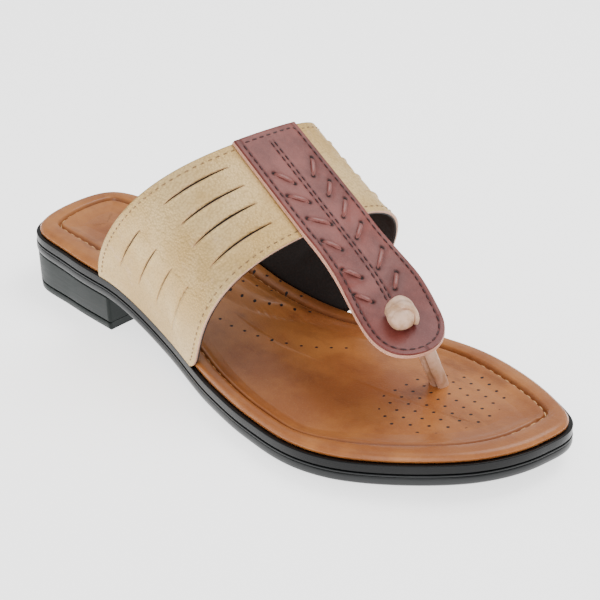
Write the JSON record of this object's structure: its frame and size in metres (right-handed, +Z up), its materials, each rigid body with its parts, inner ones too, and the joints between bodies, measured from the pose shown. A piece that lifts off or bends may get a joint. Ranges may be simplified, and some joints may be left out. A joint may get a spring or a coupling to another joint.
{
  "type": "flat sandal",
  "caption": "Flat leather slide sandal with a slit arched vamp, a long T strap, a knotted toe post and a low-heeled black rubber sole.",
  "frame": {"origin": "on the floor under the middle of the sandal's length and width", "axes": "+X to the toe, +Y to the inner (medial) side, +Z up"},
  "size_m": [0.2516, 0.098, 0.0876],
  "materials": {
    "black_rubber": "smooth, semi-gloss",
    "heel_rubber": "satin",
    "footbed_leather": "glossy tan, perforated and stitched",
    "vamp_leather": "pebbled, soft metallic sheen",
    "strap_leather": "smooth burgundy brown, satin",
    "post_leather": "rolled, satin"
  },
  "bodies": {
    "root": {"outsole": "black_rubber", "midsole": "black_rubber", "heel_block": "heel_rubber", "heel_top_lift": "heel_rubber", "footbed": "footbed_leather", "vamp": "vamp_leather", "t_strap": "strap_leather", "toe_post": "post_leather"}
  },
  "joints": []
}
